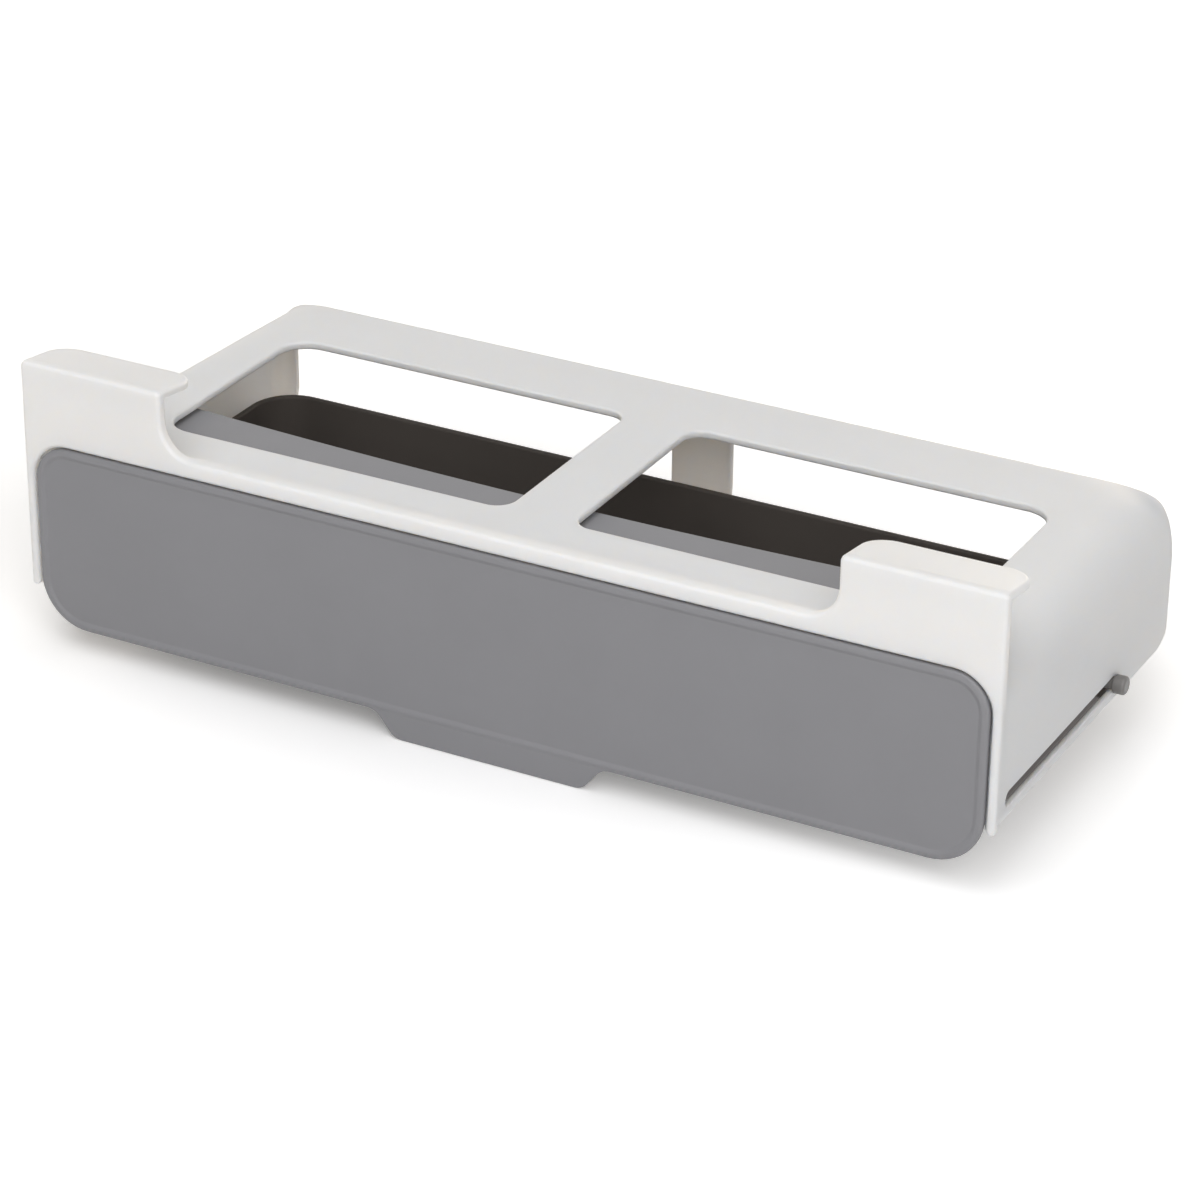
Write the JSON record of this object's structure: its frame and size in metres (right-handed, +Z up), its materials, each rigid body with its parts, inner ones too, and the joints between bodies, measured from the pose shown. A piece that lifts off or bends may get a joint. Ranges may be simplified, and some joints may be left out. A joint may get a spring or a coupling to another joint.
{
  "type": "under-shelf spice rack",
  "caption": "Open white frame that hooks over a shelf's front edge and hangs below it, with a grey drawer that slides out on side pins and drops down to show the spice jars.",
  "frame": {"origin": "on the top plate's upper face, at the middle of the bar between its windows, halfway between the fascia's front and the rear posts", "axes": "+X to the right along the fascia as seen by the user, +Y to the back under the shelf, +Z up towards the shelf"},
  "size_m": [0.3058, 0.131, 0.0885],
  "materials": {
    "white_plastic": "fine satin moulding",
    "dark_grey_plastic": "matt moulding",
    "grey_plastic": "fine matt moulding",
    "pin_plastic": "satin moulding"
  },
  "bodies": {
    "frame": {"frame_body": "white_plastic", "fascia": "white_plastic"},
    "pins": {"pivot_pin_left": "pin_plastic", "pivot_pin_right": "pin_plastic"},
    "drawer": {"drawer_tray": "dark_grey_plastic", "drawer_front": "grey_plastic"}
  },
  "joints": [
    {"name": "drawer_slide", "type": "slide", "parent": "frame", "child": "pins", "axis": [0, -1, 0], "range_m": [0, 0.0715]},
    {"name": "drawer_drop", "type": "hinge", "parent": "pins", "child": "drawer", "pos_m": [0, 0.019, -0.0388], "axis": [1, 0, 0], "range_deg": [0, 50]}
  ]
}
